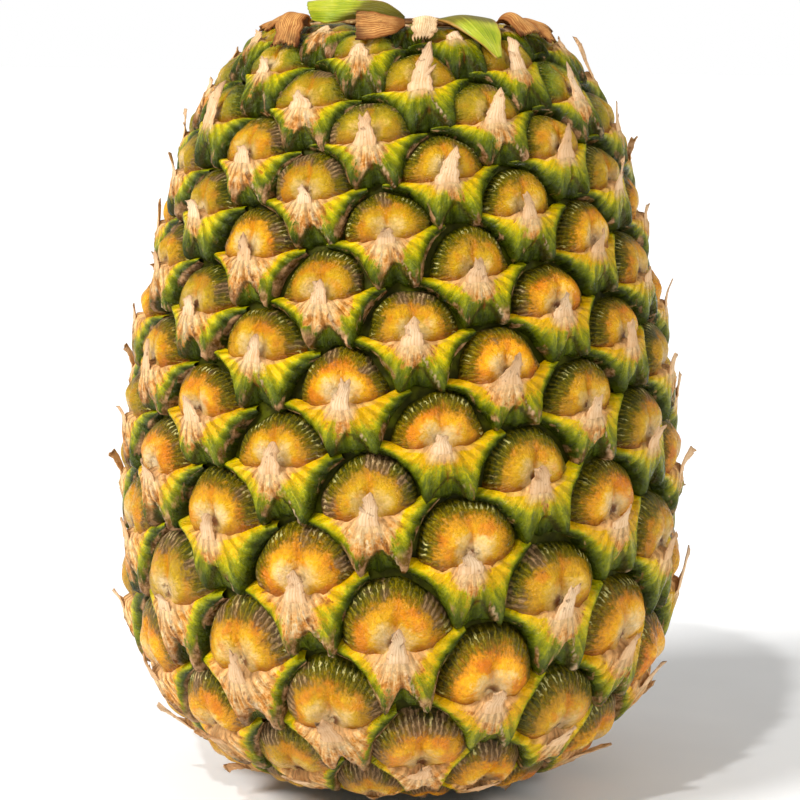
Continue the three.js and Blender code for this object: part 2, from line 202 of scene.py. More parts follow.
def keep(piece: Piece, finish: Material, slot: "Slot", *nodes: str) -> None:
    """Dresses a piece and fixes it to the one body.

    Args:
        piece: The piece.
        finish: Its material.
        slot: The slot that the material belongs to; not used.
        nodes: The solids that the piece stands for.
    """
    piece.data.materials.clear()
    piece.data.materials.append(finish)
    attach(piece, "root")
    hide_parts(*nodes)
    count = sum(len(p.vertices) - 2 for p in piece.data.polygons)
    log.info("%s: %d triangles", piece.name, count)


class Slot(Enum):
    """The material slots."""

    RIND = "rind"
    CORE = "core"
    GREEN = "leaf_green"
    DRY = "leaf_dry"


# The form of the fruit

@dataclass(frozen=True)
class FruitForm:
    """Outline of the fruit and the spirals that its eyes stand on, with the same values as the solids."""

    divergence: float = 137.414
    first_azimuth: float = 1.9
    first_height: float = 107.6
    top_eye: int = -79
    base_eye: int = 99
    ref_radius: float = 60.0
    eyes_per_mm: float = 0.9036
    ref_area: float = 413.0
    scar_radius: float = 14.0
    scar_height: float = 1.2
    base_height: float = 40.0
    flat_from_base: float = 48.0
    flat_from_top: float = 36.0
    seat_radius: float = 18.2
    seat_height: float = 169.3
    outline: tuple[tuple[float, float], ...] = (
        (15.6, 1.9), (20, 2.7), (27, 3.9), (35.3, 5.4), (46.1, 12), (55.8, 23.8), (61.4, 42.5),
        (62.3, 66.6), (60.1, 95.6), (53.6, 124.7), (46.6, 148.7), (38.2, 161.6), (33.7, 166.4),
        (28.6, 168.9), (23.2, 169.9), (19.4, 170.1),
    )
    areas: tuple[tuple[float, float], ...] = (
        (0.012, 105), (0.03, 190), (0.05, 330), (0.08, 450), (0.15, 510), (0.24, 590), (0.33, 537),
        (0.4, 466), (0.5, 413), (0.62, 362), (0.785, 309), (0.92, 261), (0.965, 235), (0.985, 170),
        (1.0, 120),
    )

    def __post_init__(self) -> None:
        """Measures the outline once, from the crown down to the scar."""
        run = self._smooth_run(np.array(self.outline[::-1], float))
        step = np.diff(run, axis=0)
        length = np.hypot(step[:, 0], step[:, 1])
        area = self._area(run[1:, 1])
        number = np.concatenate([[0], np.cumsum(math.tau * (run[1:, 0] + run[:-1, 0]) / 2 * length / area)])
        first = np.nonzero((run[:, 1] < self.first_height) & (run[:, 0] > self.seat_radius * 2))[0][0]
        along = np.gradient(run, axis=0)
        along /= np.linalg.norm(along, axis=1)[:, None]
        table = np.column_stack([number - number[first], run, -along[:, 1], along[:, 0]])
        object.__setattr__(self, "_table", table)

    def _area(self, height: Array) -> Array:
        """Area of an eye at a height, in square millimetres."""
        share = height / (self.seat_height + 1.7)
        return np.interp(share, [a[0] for a in self.areas], [a[1] for a in self.areas])

    @staticmethod
    def _smooth_run(points: Array) -> Array:
        """Draws a rounded curve through the outline's points.

        Args:
            points: Radius and height of each point.

        Returns:
            The curve's points, close together.
        """
        ends = [2 * points[0] - points[1], *points, 2 * points[-1] - points[-2]]
        out = []
        for a, b, c, d in zip(ends, ends[1:], ends[2:], ends[3:]):
            gaps = [math.sqrt(np.linalg.norm(q - p)) for p, q in ((a, b), (b, c), (c, d))]
            start = ((b - a) / gaps[0] - (c - a) / (gaps[0] + gaps[1]) + (c - b) / gaps[1]) * gaps[1]
            end = ((c - b) / gaps[1] - (d - b) / (gaps[1] + gaps[2]) + (d - c) / gaps[2]) * gaps[1]
            t = np.linspace(0, 1, 100, endpoint=False)[:, None]
            out.append(
                (2 * t**3 - 3 * t**2 + 1) * b + (t**3 - 2 * t**2 + t) * start
                + (-2 * t**3 + 3 * t**2) * c + (t**3 - t**2) * end
            )
        return np.vstack([*out, points[-1]])

    def at(self, number: Array) -> tuple[Array, Array, Array, Array]:
        """Looks up the outline.

        Args:
            number: Eye numbers, which may be fractions.

        Returns:
            Radius, height and the outward direction's two parts.
        """
        t = self._table
        number = np.clip(number, t[0, 0], t[-1, 0])
        return tuple(np.interp(number, t[:, 0], t[:, k]) for k in (1, 2, 3, 4))

    def size_at(self, height: Array) -> Array:
        """Size of an eye at a height, as a share of the reference eye's."""
        return np.sqrt(self._area(height) / self.ref_area)

    def place(self, eye: Array, x: Array, y: Array, h: Array, widen: Array | float = 1.0) -> Array:
        """Puts points of the flat eye pattern on the fruit.

        Args:
            eye: Eye numbers.
            x: Millimetres to the right in the pattern.
            y: Millimetres up in the pattern.
            h: Millimetres out from the outline.
            widen: Share by which the eye's width is stretched.

        Returns:
            Corners in millimetres, with x, y and z last.
        """
        radius, height, out_r, out_z = self.at(eye - y * self.eyes_per_mm)
        turn = np.radians(self.first_azimuth + eye * self.divergence) + x * widen / self.ref_radius
        flat_from = np.where(height < self.base_height, self.flat_from_base, self.flat_from_top)
        out = h * self.size_at(height) * (0.25 + 0.75 * smooth(self.seat_radius, flat_from, radius))
        wide = radius + out_r * out
        return np.stack([wide * np.sin(turn), -wide * np.cos(turn), height + out_z * out], axis=-1)


@dataclass(frozen=True)
class EyeMoods:
    """What differs from eye to eye."""

    form: FruitForm
    seed: int = 23

    def __post_init__(self) -> None:
        """Draws every random value once, in a fixed order."""
        eye = np.arange(self.form.top_eye, self.form.base_eye + 1, dtype=float)[:, None]
        draw = np.random.default_rng(self.seed)

        def many(low: float, high: float) -> Array:
            """Draws one value for each eye."""
            return draw.uniform(low, high, eye.shape)

        radius, height, _, _ = self.form.at(eye)
        side = np.sin(np.radians(self.form.first_azimuth + eye * self.form.divergence))
        top, low = smooth(125, 160, height), smooth(70, 15, height)
        ripe = 0.68 - 0.62 * top + 0.12 * low + 0.1 * side + many(-0.26, 0.26)
        dry = 0.36 - 0.15 * top + 0.26 * low - 0.2 * side + 0.5 * smooth(78, 90, eye) + many(-0.28, 0.36)
        stub = many(0, 1) < 0.25
        hidden = (eye < -60) | (eye > 90)
        values = {
            "eye": eye,
            "ripe": np.clip(ripe, 0, 1),
            "dry": np.clip(dry, 0, 1),
            "mark": many(0, 1),
            "round": self.form.size_at(height) * self.form.ref_radius / radius * (1 + 0.2 * top),
            "span": 1 + 0.2 * top,
            "shift_x": many(-0.5, 0.5),
            "shift_y": many(-0.45, 0.45),
            "turn": np.radians(many(-4, 4)),
            "swell": many(-0.35, 0.35),
            "lift": many(-0.3, 0.45),
            "tip_length": np.where(
                hidden, 1.2, np.where(stub, many(1.5, 3.0), many(3.2, 6.0) * (1 + 0.5 * top))),
            "tip_lean": np.radians(many(4, 19)),
            "tip_sway": many(-0.34, 0.34),
            "tip_width": many(0.85, 1.3),
            "tip_twist": many(-0.9, 0.9),
            "phase": many(0, 50),
            "dip": many(-0.5, 0.7),
        }
        object.__setattr__(self, "values", values)

    def __getattr__(self, name: str) -> Array:
        """Reads one of the drawn values.

        Args:
            name: Its name.

        Returns:
            The value of each eye.
        """
        if name.startswith("_") or name == "values":
            raise AttributeError(name)
        return self.values[name]

    def mark_for(self, corners: int) -> Array:
        """Ripeness, dryness and mark of each eye, repeated on all its corners."""
        three = np.concatenate([self.ripe, self.dry, self.mark], axis=1)
        return np.repeat(three, corners, axis=0)


def ripple(value: Array, phase: Array, waves: Sequence[tuple[float, float]]) -> Array:
    """Adds up a few waves of given frequency and height, each with a phase of its own."""
    return sum(high * np.sin(often * value + phase * (1.7 + k)) for k, (often, high) in enumerate(waves))


# The parts of an eye

@dataclass(frozen=True)
class EyePart:
    """A pattern piece that is shaped from a plain mesh and copied onto every eye of the fruit."""

    moods: EyeMoods
    name: str = "fruit_part"

    def start(self) -> Mesh:
        """Makes the plain mesh."""
        raise NotImplementedError

    def widen(self) -> Array:
        """Gives the share by which each eye's width is stretched."""
        return self.moods.round

    def shape(self, a: Array, b: Array, c: Array) -> Shaped:
        """Shapes the plain mesh for every eye at once.

        Args:
            a: First coordinate of its corners.
            b: Second coordinate.
            c: Third coordinate.

        Returns:
            x, y and h in the flat eye pattern, and two marks of three values each.
        """
        raise NotImplementedError

    def build(self, finish: Material) -> Piece:
        """Makes one piece of all the copies.

        Args:
            finish: Its material.

        Returns:
            The piece.
        """
        flat, faces = self.start()
        x, y, h, place, relief = self.shape(flat[None, :, 0], flat[None, :, 1], flat[None, :, 2])
        corners = self.moods.form.place(self.moods.eye, x, y, h, self.widen())
        count, size = corners.shape[:2]
        every = (faces[None] + (np.arange(count) * size)[:, None, None]).reshape(-1, faces.shape[1])
        marks = {"mood": self.moods.mark_for(size)}
        for label, three in (("place", place), ("relief", relief)):
            wide = [np.broadcast_to(part, (count, size)) for part in three]
            marks[label] = np.stack(wide, axis=-1).reshape(-1, 3)
        piece = new_piece(self.name, corners.reshape(-1, 3), every, marks)
        if faces.shape[1] == 3:
            make_outward(piece)
        keep(piece, finish, Slot.RIND, "fruit")
        return piece


@dataclass(frozen=True)
class Caps(EyePart):
    """The smooth round caps, each three sepals grown together round a small navel."""

    name: str = "fruit_caps"
    radius: float = 10.3
    rise: float = 1.7
    around: int = 42
    rings: int = 13
    skirt: float = 1.03
    tucked: float = 2.4
    # share of the radius and height over the outline
    section: tuple[tuple[float, float], ...] = (
        (0.0, -0.9), (0.12, -0.7), (0.3, -0.15), (0.5, -0.02), (0.66, -0.35), (0.8, -1.1),
        (0.9, -2.0), (0.97, -3.0), (1.03, -4.4),
    )
    # x and y of the line where the bract's lip hides the cap
    lip: tuple[tuple[float, float], ...] = (
        (-11, -0.5), (-8.4, -0.9), (-5.4, -1.2), (-3, -0.6), (0, 0.3), (2.6, -0.5), (5.2, -0.1), (8, 1.0),
        (11, 2.2),
    )

    def shape(self, u: Array, v: Array, _: Array) -> Shaped:
        """Bends a flat grid to a domed disc.

        Args:
            u: Places across the grid, which become the angle.
            v: Places up the grid, which become the radius.

        Returns:
            x, y and h in the flat eye pattern, and two marks of three values each.
        """
        m = self.moods
        angle = (u + 1) * math.pi
        share = self.skirt * ((v + 1) / 2) ** 0.8
        edge = 1 + ripple(angle, m.phase, ((2, 0.03), (3, 0.035), (5, 0.02), (9, 0.012)))
        reach = self.radius * share * (1 + (edge - 1) * smooth(0.3, 1, share))
        x = reach * np.cos(angle) + m.shift_x
        y = self.rise + reach * np.sin(angle) + m.shift_y
        h = np.interp(share, *zip(*self.section)) + m.swell * (1 - smooth(0.6, 1, share))
        left = bell(x, -3.3 + 0.4 * np.sin(m.phase), 2.3)
        right = bell(x, 3.6 + 0.4 * np.cos(m.phase), 2.3)
        cheek = left * bell(y, 4.3, 2.7) + right * bell(y, 4.7, 2.7)
        bend = 0.35 * np.sin(y * 1.1 + m.phase)
        seam = bell(x, bend, 0.6) * smooth(2.6, 4.5, y) * (1 - smooth(7.5, 11, y))
        lip = np.interp(x, *zip(*self.lip))
        above = y - lip
        fold = bell(above, 0.4, 1.4) * smooth(1.5, 3, np.abs(x)) * (1 - smooth(0.85, 1, share))
        h = h + cheek - 0.7 * seam - 0.9 * fold
        h = h + ripple(x * 0.8 + y * 0.5, m.phase, ((1.0, 0.16), (2.3, 0.09))) * (1 - smooth(0.8, 1, share))
        under = np.maximum(-above, 0)
        y = np.where(above < 0, lip - self.tucked * (1 - np.exp(-under / self.tucked)), y)
        h = h - 2.2 * smooth(0.2, 2.5, under)
        return x, y, h, ((u + 1) / 2, share / self.skirt, above / 10), (cheek, seam, fold)

    def start(self) -> Mesh:
        """Makes a flat grid."""
        return start_grid(self.around, self.rings)


@dataclass(frozen=True)
class Bracts(EyePart):
    """The pleated bracts under the caps, like a bat with its wings out."""

    name: str = "fruit_bracts"
    columns: int = 40
    rows: int = 13
    rolled: float = 0.14
    fan_from: float = 3.5
    # position across, width and height of each lobe's swell and each furrow
    pleats: tuple[tuple[float, float, float], ...] = (
        (-0.28, 0.13, 1.0), (0.42, 0.13, 1.0), (-0.54, 0.08, -0.6), (0.66, 0.08, -0.6), (0.27, 0.04, -0.35),
    )
    # position across from -1 to 1, x and y of the upper edge
    upper: tuple[tuple[float, float, float], ...] = (
        (-1.0, -14.8, -0.4), (-0.8, -11.4, -0.5), (-0.6, -8.4, -0.9), (-0.4, -5.4, -1.2),
        (-0.22, -3.0, -0.8), (0.0, 0.0, 0.3), (0.2, 2.6, -0.5), (0.4, 5.2, -0.2), (0.6, 8.0, 1.0),
        (0.8, 11.0, 2.2), (1.0, 14.2, 3.2),
    )
    # the same for the lower edge, with a lobe on each side of the middle
    lower: tuple[tuple[float, float, float], ...] = (
        (-1.0, -15.0, -1.0), (-0.85, -11.8, -1.9), (-0.7, -8.8, -2.9), (-0.55, -6.4, -5.2),
        (-0.42, -4.5, -7.6), (-0.32, -3.2, -9.9), (-0.25, -2.3, -11.2), (-0.14, -0.8, -10.6),
        (0.0, 1.3, -10.2), (0.14, 3.2, -10.0), (0.3, 5.4, -10.3), (0.44, 7.3, -10.6),
        (0.54, 8.1, -8.4), (0.64, 8.8, -5.3), (0.76, 10.0, -2.3), (0.88, 12.0, 0.2), (1.0, 14.6, 2.6),
    )

    def shape(self, u: Array, v: Array, _: Array) -> Shaped:
        """Bends a flat grid to a bract: the upper rows roll over the lip, the lower ones tuck in.

        Args:
            u: Places across the grid.
            v: Places up the grid.

        Returns:
            x, y and h in the flat eye pattern, and two marks of three values each.
        """
        m = self.moods
        t = (1 - v) / 2 * (1 + 2 * self.rolled) - self.rolled
        down = np.clip(t, 0, 1)
        top, low = ([np.interp(u, edge[0], edge[k]) for k in (1, 2)]
                    for edge in (tuple(zip(*self.upper)), tuple(zip(*self.lower))))
        wave = ripple(u * 9, m.phase, ((1, 0.35), (2.1, 0.28), (3.7, 0.16))) * (1 - u * u)
        lip_wave = ripple(u * 11, m.phase + 3, ((1, 0.16), (2.3, 0.12))) * (1 - u * u)
        x = top[0] + (low[0] - top[0]) * down**0.8
        y = top[1] + lip_wave * (1 - down) + (low[1] + wave - top[1]) * down
        back, tuck = np.clip(-t / self.rolled, 0, 1), np.clip((t - 1) / self.rolled, 0, 1)
        crest = bell(u, 0, 0.24) + 0.2 - 0.6 * np.abs(u) - 2.3 * u**4 + m.lift * (1 - u * u)
        skirt = -1.5 - 1.5 * u**4 + 0.45 * m.lift
        h = crest + (skirt - crest) * down**1.3 + 0.7 * np.sin(math.pi * down) * (1 - u * u)
        recess = self.notch(u, down)
        ridge = bell(u, 0.02 + 0.36 * down, 0.04) * smooth(0.1, 0.3, down)
        pleats = sum(high * bell(u, middle, wide) for middle, wide, high in self.pleats)
        h = h + pleats * smooth(0.2, 0.85, down) - (1.25 + m.dip) * recess
        h = h + 0.45 * ridge * (1 - recess)
        fold = ripple(u * 12 + 2 * t, m.phase, ((1, 0.12), (2.1, 0.1), (4.3, 0.05)))
        h = h + fold * smooth(0, 0.35, down) * (1 - 0.6 * np.abs(u))
        y = y + 1.2 * back - 0.25 * tuck
        x = x - 0.5 * back * u
        h = h - 2.7 * back**1.4 - 2.9 * tuck**1.2
        turned_x = x * np.cos(m.turn) - y * np.sin(m.turn)
        turned_y = x * np.sin(m.turn) + y * np.cos(m.turn)
        fan, reach = np.arctan2(x, self.fan_from - y), np.hypot(x, y - self.fan_from) / 10
        return turned_x, turned_y, h, ((u + 1) / 2, t, recess), (fan, reach, ridge)

    @staticmethod
    def notch(u: Array, down: Array) -> Array:
        """How much of a point lies in the sunk middle lobe, between the two outer ones."""
        half = 0.03 + 0.21 * smooth(0.5, 1, down)
        return (1 - smooth(half - 0.05, half + 0.05, np.abs(u - 0.07))) * smooth(0.5, 0.66, down)

    def start(self) -> Mesh:
        """Makes a flat grid."""
        return start_grid(self.columns, self.rows)

    def widen(self) -> Array:
        """Gives the share by which each bract is stretched."""
        return self.moods.span


@dataclass(frozen=True)
class Tips(EyePart):
    """The dry papery strips that the bracts end in, lying up over the caps."""

    name: str = "fruit_tips"
    half_width: float = 2.6
    half_thick: float = 0.26
    reach: float = 1.0
    spread: float = 0.0
    segments: int = 12
    rings: int = 17
    # place along the strip and share of its width
    widths: tuple[tuple[float, float], ...] = (
        (0, 0.1), (0.08, 0.5), (0.2, 0.9), (0.32, 0.8), (0.6, 0.54), (0.85, 0.46), (0.96, 0.34), (1, 0.04),
    )

    def shape(self, a: Array, b: Array, c: Array) -> Shaped:
        """Draws a ball out to a flat frayed strip that starts in the bract and leans outwards.

        Args:
            a: First coordinate on the ball.
            b: Second one.
            c: Third one, which runs along the strip.

        Returns:
            x, y and h in the flat eye pattern, and two marks of three values each.
        """
        m = self.moods
        v = np.arccos(np.clip(c, -1, 1)) / math.pi
        ring = np.sqrt(np.maximum(1 - c * c, 0))
        side, face = a / np.maximum(ring, 1e-6), b / np.maximum(ring, 1e-6)
        out, root = np.clip((v - 0.3) / 0.7, 0, 1), np.clip(v / 0.3, 0, 1)
        length = m.tip_length * self.reach * (1 + 0.16 * np.sin(side * 2.4 + m.phase) * out)
        frayed = 1 + ripple(v * 13 + side * 2.1, m.phase, ((1.0, 0.1), (2.3, 0.1), (4.1, 0.07))) * (0.5 + out)
        half = self.half_width * m.tip_width * np.interp(v, *zip(*self.widths)) * frayed
        lean = m.tip_lean * (0.6 + 0.8 * out)
        twist = m.tip_twist * out
        x = side * half * np.cos(twist) + out * length * (m.tip_sway + self.spread * np.sin(m.phase * 3.1))
        x = x + 0.4 * np.sin(out * 5 + m.phase) * out
        y = -4.4 + 4.5 * root + out * length * np.cos(lean)
        h = -0.9 + 2.2 * smooth(0, 0.9, root) + m.lift + out * length * np.sin(lean)
        h = h + (side * np.sin(twist) + np.abs(np.sin(twist))) * half - 0.35 * side**2 * (1 - out)
        curl = 0.5 * side**2 * half / self.half_width * np.cos(m.phase * 2.3)
        h = h + face * self.half_thick * (1 - 0.3 * out) + curl * out
        return x, y, h, ((side + 1) / 2, v, 0.5), (0, 0, 0)

    def start(self) -> Mesh:
        """Makes a ball."""
        return start_ball(self.segments, self.rings)


@dataclass(frozen=True)
class Groove:
    """The dark skin between the eyes, closed at the stalk scar below and the crown's seat above."""

    form: FruitForm
    around: int = 128
    rows: int = 110
    depth: float = 4.3
    end_share: float = 0.06
    weld: float = 0.02
    scar_reach: float = 16.0
    scar_top: float = 1.3
    seat_reach: float = 19.3
    seat_below: float = 160.0

    def build(self, skin: Material, scar: Material) -> Piece:
        """Makes one closed skin from a grid bent round the fruit.

        Args:
            skin: Material of the grooves.
            scar: Material of the stalk scar and of the crown's seat.

        Returns:
            The piece.
        """
        form, end = self.form, self.end_share
        flat, faces = start_grid(self.around, self.rows)
        table = form._table
        v = (1 - flat[:, 1]) / 2
        number = np.interp(v, [end, 1 - end], [table[0, 0], table[-1, 0]])
        turn = (flat[:, 0] + 1) * math.pi
        body = form.place(number, np.zeros_like(v), np.zeros_like(v), np.full_like(v, -self.depth))
        radius = np.hypot(body[:, 0], body[:, 1])
        height = body[:, 2]
        top, low = v < end, v > 1 - end
        seat = np.interp(v, [0, 0.05, end], [0, form.seat_radius, form.seat_radius + 1])
        radius = np.where(top, seat, radius)
        height = np.where(top, form.seat_height - 0.4 * smooth(0.03, end, v), height)
        rows = [1 - end, 0.955, 0.965, 0.972, 1]
        rim = form.scar_radius
        radius = np.where(low, np.interp(v, rows, [15.4, rim + 0.3, rim, rim - 0.7, 0]), radius)
        height = np.where(low, np.interp(v, rows, [2.6, form.scar_height, 0.25, 0, 0]), height)
        places = np.column_stack([radius * np.sin(turn), -radius * np.cos(turn), height])
        mark = np.column_stack([flat[:, 0], v, np.zeros_like(v)])
        piece = new_piece("fruit_skin", places, faces, {"place": mark})
        edit_all(bpy.ops.mesh.remove_doubles, threshold=self.weld * MM)
        make_outward(piece)
        keep(piece, skin, Slot.RIND, "fruit")
        piece.data.materials.append(scar)
        for face in piece.data.polygons:
            out, up = math.hypot(*face.center.xy) / MM, face.center.z / MM
            below = up < self.scar_top and out < self.scar_reach
            above = up > self.seat_below and out < self.seat_reach
            face.material_index = 1 if below or above else 0
        return piece


# What the crown left

@dataclass(frozen=True)
class CrownStump:
    """The torn core of the crown, in the middle of the top."""

    form: FruitForm
    radius: float = 17.0
    rise: float = 1.5
    gap: float = 0.35
    around: int = 64
    rings: int = 26
    # place from the underside's middle to the top's, share of the radius and of the rise
    section: tuple[tuple[float, float, float], ...] = (
        (0, 0, 0), (0.2, 0.96, 0), (0.3, 1, 0.25), (0.45, 1, 0.62), (0.6, 0.86, 0.96), (0.8, 0.5, 0.9),
        (1, 0, 0.74),
    )

    def build(self, finish: Material) -> Piece:
        """Makes a low closed mound with a rough broken top and a flat underside.

        Args:
            finish: Its material.

        Returns:
            The piece.
        """
        ball, faces = start_ball(self.around, self.rings)
        v = np.arccos(np.clip(-ball[:, 2], -1, 1)) / math.pi
        angle = np.arctan2(ball[:, 1], ball[:, 0])
        steps, wide, rise = zip(*self.section)
        radius, high = self.radius * np.interp(v, steps, wide), np.interp(v, steps, rise)
        x, y = radius * np.cos(angle), radius * np.sin(angle)
        torn = (np.sin(x * 1.9 + np.sin(y * 1.3) * 2) * np.sin(y * 2.3 + np.cos(x * 1.1) * 2) * 0.5
                + np.sin(x * 5.1 + y * 1.7) * np.sin(y * 4.3 - x) * 0.25)
        top = smooth(0.4, 0.62, v)
        z = self.form.seat_height + self.gap + self.rise * high * (1 + 0.2 * torn * top)
        z = z - 0.4 * top * bell(radius, 0, 6)
        places = np.column_stack([x, y, z])
        piece = new_piece("crown_core", places, faces, {"place": np.column_stack([x / 10, y / 10, z])})
        make_outward(piece)
        keep(piece, finish, Slot.CORE, "crown_stump")
        return piece


@dataclass(frozen=True)
class Leaf:
    """One torn leaf base. Rows run from its root to its end.

    Each row is the left and the right edge as azimuth in degrees, radius and height, then how far
    the middle bows out.
    """

    node: str
    rows: tuple[tuple[float, ...], ...]
    slot: Slot
    ragged: float = 0.5
    bleached: bool = False
    thickness: float = 0.5
    tear: float = 2.4
    across: int = 24
    along: int = 34

    def build(self, finish: Material) -> Piece:
        """Bends a grid through the rows, frays its end and gives it a thickness.

        Args:
            finish: Its material.

        Returns:
            The piece.
        """
        flat, faces = start_grid(self.across, self.along)
        u, v = (flat[:, 0] + 1) / 2, (flat[:, 1] + 1) / 2
        phase = sum(ord(c) * (i + 1) for i, c in enumerate(self.node)) % 97
        order = np.lexsort((u, v))
        places = self._sheet(u, v, phase)
        across, along = self._slopes(places, order)
        normal = np.cross(across, along)
        normal /= np.maximum(np.linalg.norm(normal, axis=1, keepdims=True), 1e-9)
        check = order[self.along // 5 * (self.across + 1) + self.across // 2]
        if normal[check, 2] < 0 and normal[check] @ places[check] < 20:
            normal = -normal
        bow = self._through(np.array([row[6] for row in self.rows], float), v * (len(self.rows) - 1))
        wrinkle = 0.22 * np.sin(u * 7 + phase) * np.sin(v * 4 + phase) + 0.14 * np.sin(v * 8 + u * 5 + phase)
        lift = bow * (1 - (2 * u - 1) ** 2) + wrinkle * smooth(0, 0.2, v)
        places = places + normal * lift[:, None]
        _, along = self._slopes(places, order)
        along /= np.maximum(np.linalg.norm(along, axis=1, keepdims=True), 1e-9)
        saw = np.abs((u * 5.5 + phase) % 1 - 0.5) + 0.6 * np.abs((u * 11.5 + phase * 3) % 1 - 0.5)
        tear = self.tear * self.ragged * (saw - 0.4) * smooth(0.72, 1, v)
        places = places + along * tear[:, None]
        mark = np.column_stack([u, v, np.full_like(u, phase / 97)])
        piece = new_piece(f"{self.node}_blade", places, faces, {"place": mark})
        solid = piece.modifiers.new("thickness", "SOLIDIFY")
        solid.thickness, solid.offset = self.thickness * MM, 0
        bpy.ops.object.modifier_apply(modifier=solid.name)
        make_outward(piece)
        keep(piece, finish, self.slot, self.node)
        return piece

    def _sheet(self, u: Array, v: Array, phase: int) -> Array:
        """Lays the grid through the rows, without its bow.

        Args:
            u: Places across, from 0 to 1.
            v: Places along, from 0 to 1.
            phase: Where the waves of its edges start.

        Returns:
            Corners in millimetres.
        """
        rows = np.array(self.rows, float)
        place = v * (len(rows) - 1)
        edges = []
        for k in (0, 3):
            turn, radius, height = (self._through(rows[:, k + i], place) for i in range(3))
            turn = np.radians(turn)
            edges.append(np.column_stack([radius * np.sin(turn), -radius * np.cos(turn), height]))
        inset = 0.07 * np.sin(v * 17 + phase) + 0.05 * np.sin(v * 31 + phase * 2)
        share = np.clip(u + inset * self.ragged * (2 * u - 1) * np.abs(2 * u - 1), 0, 1)
        return edges[0] + (edges[1] - edges[0]) * share[:, None]

    def _slopes(self, places: Array, order: Array) -> tuple[Array, Array]:
        """Measures the steps between corners that are next to each other.

        Args:
            places: The corners.
            order: Their numbers, row by row.

        Returns:
            The step across and the step along at each corner.
        """
        grid = places[order].reshape(self.along + 1, self.across + 1, 3)
        steps = [np.empty_like(places), np.empty_like(places)]
        for step, axis in zip(steps, (1, 0)):
            step[order] = np.gradient(grid, axis=axis).reshape(-1, 3)
        return steps[0], steps[1]

    @staticmethod
    def _through(values: Array, place: Array) -> Array:
        """Runs a rounded curve through the values of the rows.

        Args:
            values: One value a row.
            place: Where to read it, in rows from the root.

        Returns:
            The values there.
        """
        ends = np.concatenate([[2 * values[0] - values[1]], values, [2 * values[-1] - values[-2]]])
        k = np.minimum(place.astype(int), len(values) - 2)
        t = place - k
        a, b, c, d = (ends[k + i] for i in range(4))
        bend, twist = 2 * a - 5 * b + 4 * c - d, 3 * b - a - 3 * c + d
        return 0.5 * (2 * b + (c - a) * t + bend * t**2 + twist * t**3)


# The seven leaf bases that the photograph shows
FRONT_LEAVES = (
    Leaf("leaf_01", (
        (-1.5, 23.2, 170.6, -1.0, 22.6, 171.6, 0), (-12.0, 25.0, 171.0, -6.5, 23.5, 173.5, 0.4),
        (-25.0, 26.4, 171.2, -14.0, 24.2, 174.9, 0.6), (-33.8, 28.4, 170.2, -24.0, 25.2, 175.0, 0.7),
        (-38.6, 28.8, 170.2, -37.5, 26.4, 174.9, 0.8), (-43.5, 28.9, 170.7, -50.5, 27.0, 174.4, 0.4),
    ), Slot.GREEN, 0.25),
    Leaf("leaf_02", (
        (-0.4, 29.8, 169.8, -0.6, 27.5, 170.9, 0), (-5.2, 33.5, 168.0, -7.0, 27.2, 171.6, 0.6),
        (-11.0, 35.2, 167.1, -14.5, 27.6, 172.3, 0.8), (-17.0, 35.2, 167.1, -21.5, 28.2, 172.8, 0.6),
    ), Slot.DRY, 0.3),
    Leaf("leaf_03", (
        (-52.0, 30.6, 169.4, -41.0, 30.6, 169.4, 0.2), (-53.5, 31.8, 171.4, -40.5, 31.8, 171.4, 0.7),
        (-53.0, 33.8, 170.2, -39.5, 33.8, 170.2, 1.0), (-51.0, 35.6, 167.8, -38.0, 35.6, 167.8, 0.8),
        (-48.5, 37.6, 165.5, -37.5, 37.6, 165.5, 0.4),
    ), Slot.DRY, 0.8),
    Leaf("leaf_04", (
        (4.5, 26.5, 170.6, 11.5, 26.5, 170.6, 0.2), (3.0, 29.5, 171.2, 12.5, 29.5, 171.0, 0.5),
        (2.2, 32.5, 169.6, 11.5, 32.5, 169.4, 0.5), (2.4, 35.3, 167.4, 8.5, 35.3, 167.4, 0.2),
    ), Slot.DRY, 1.1, bleached=True),
    Leaf("leaf_05", (
        (16.0, 23.0, 170.9, 40.0, 23.0, 170.9, 0.3), (14.2, 26.5, 171.2, 41.5, 26.5, 171.2, 0.6),
        (16.5, 29.8, 170.6, 39.6, 29.8, 170.6, 0.9), (20.3, 33.2, 168.9, 36.3, 33.2, 168.9, 0.9),
        (25.4, 36.8, 166.1, 32.3, 36.8, 166.1, 0.5), (28.4, 39.6, 163.5, 29.9, 39.6, 163.5, 0.1),
    ), Slot.GREEN, 0.2),
    Leaf("leaf_06", (
        (44.0, 27.0, 170.3, 54.0, 27.0, 170.1, 0.4), (43.2, 29.6, 171.2, 57.0, 29.6, 170.5, 1.6),
        (43.0, 32.6, 169.9, 57.5, 32.6, 169.3, 1.3), (43.0, 35.4, 168.1, 55.0, 35.4, 167.7, 0.8),
    ), Slot.DRY, 0.4),
    Leaf("leaf_07", (
        (60.0, 27.6, 170.0, 67.0, 27.6, 170.0, 0.2), (60.0, 30.4, 170.3, 68.0, 30.4, 170.2, 0.5),
        (59.5, 33.2, 168.8, 66.5, 33.2, 168.6, 0.5), (59.0, 35.6, 166.9, 64.0, 35.6, 166.8, 0.2),
    ), Slot.DRY, 1.0),
)


